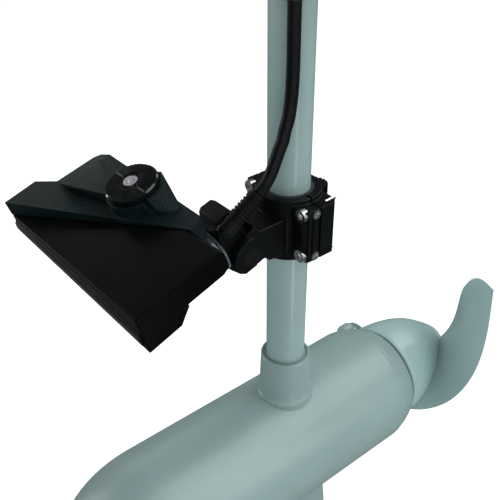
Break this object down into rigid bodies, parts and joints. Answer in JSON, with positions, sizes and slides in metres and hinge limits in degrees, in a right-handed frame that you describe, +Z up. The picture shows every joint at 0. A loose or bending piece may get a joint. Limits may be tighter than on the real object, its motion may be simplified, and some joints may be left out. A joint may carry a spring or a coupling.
{
  "type": "trolling motor",
  "caption": "Lower unit of an electric trolling motor: pod with its motor, swept two-blade propeller, skeg and shaft, with a live-sonar transducer on a tilting clamp mount and its cable.",
  "frame": {"origin": "centre of the shaft's top end, where the control head holds it", "axes": "+Z up along the shaft, -Y towards the nose of the pod and the transducer, +Y towards the propeller, +X to the side the propeller's seen blade is on"},
  "size_m": [0.1474, 0.3862, 0.6933],
  "materials": {
    "shaft_metal": "satin, translucent-looking grey",
    "pod_paint": "satin",
    "pod_plastic": "satin",
    "prop_plastic": "satin",
    "seal_rubber": "matte",
    "stainless": "satin",
    "black_steel": "black oxide",
    "axle_steel": "ground",
    "core_steel": "lacquered laminations",
    "magnet": "matte ferrite",
    "board": "phenolic board",
    "carbon": "matte",
    "bronze": "sintered",
    "copper": "enamelled copper",
    "zinc": "cast",
    "lead_insulation": "satin",
    "connector_plastic": "satin",
    "mount_plastic": "fine texture",
    "neck_plastic": "semi-gloss",
    "boot_rubber": "matte",
    "sonar_plastic": "smooth moulded",
    "window_plastic": "polished",
    "cover_plastic": "textured",
    "element": "potted ceramic",
    "knob_plastic": "satin",
    "cable_jacket": "satin jacket",
    "tie_nylon": "nylon",
    "strap_fabric": "woven hook-and-loop"
  },
  "bodies": {
    "root": {"shaft_tube": "shaft_metal", "shaft_collar": "pod_paint", "collar_seal": "pod_plastic", "center_housing": "pod_paint", "nose_cone": "pod_plastic", "rear_end_bell": "pod_paint", "front_seal_ring": "seal_rubber", "rear_seal_ring": "seal_rubber", "through_bolts": "stainless", "skeg": "pod_plastic", "skeg_screws": "stainless", "field_magnets": "magnet", "brush_plate": "board", "brushes": "carbon", "brush_springs": "stainless", "front_bush": "bronze", "rear_bush": "bronze", "shaft_seal": "seal_rubber", "motor_leads": "lead_insulation", "lead_connector": "connector_plastic", "clamp_front": "mount_plastic", "clamp_back": "mount_plastic", "clamp_liners": "seal_rubber", "clamp_screws": "stainless", "clamp_nuts": "stainless", "side_screws": "stainless", "tilt_screw": "black_steel", "tilt_nut": "black_steel", "tilt_washer": "stainless", "cable_ties": "tie_nylon", "sonar_cable": "cable_jacket", "cable_coil": "cable_jacket", "cable_tail": "cable_jacket", "coil_straps": "strap_fabric", "cable_connector": "connector_plastic"},
    "rotor": {"armature_shaft": "axle_steel", "armature_core": "core_steel", "windings": "copper", "commutator": "copper", "thrust_washer": "stainless", "drive_pin": "stainless", "propeller": "prop_plastic", "prop_washer": "stainless", "prop_nut": "stainless", "anode": "zinc"},
    "knuckle": {"knuckle_block": "mount_plastic", "swivel_neck": "neck_plastic", "cable_boot": "boot_rubber"},
    "bracket": {"bracket": "mount_plastic", "pivot_nut": "stainless"},
    "sonar_head": {"transducer_body": "sonar_plastic", "acoustic_window": "window_plastic", "top_cover": "cover_plastic", "sonar_elements": "element"},
    "knob": {"adjuster_knob": "knob_plastic", "knob_screw": "stainless", "knob_washer": "stainless"}
  },
  "joints": [
    {"name": "prop_spin", "type": "hinge", "parent": "root", "child": "rotor", "pos_m": [0, 0, -0.5685], "axis": [0, 1, 0], "continuous": true},
    {"name": "transducer_tilt", "type": "hinge", "parent": "root", "child": "knuckle", "pos_m": [0, -0.043, -0.367], "axis": [1, 0, 0], "range_deg": [-15, 45], "deforming": ["sonar_cable"]},
    {"name": "neck_roll", "type": "hinge", "parent": "knuckle", "child": "bracket", "pos_m": [0, -0.07389, -0.3664], "axis": [0, 0.9537, 0.3007], "range_deg": [-90, 90]},
    {"name": "mode_turn", "type": "hinge", "parent": "bracket", "child": "sonar_head", "pos_m": [-0.0025, -0.11055, -0.30666], "axis": [0, -0.3007, 0.9537], "range_deg": [-90, 60]},
    {"name": "knob_turn", "type": "hinge", "parent": "sonar_head", "child": "knob", "pos_m": [-0.0025, -0.11251, -0.30046], "axis": [0, -0.3007, 0.9537], "continuous": true}
  ]
}
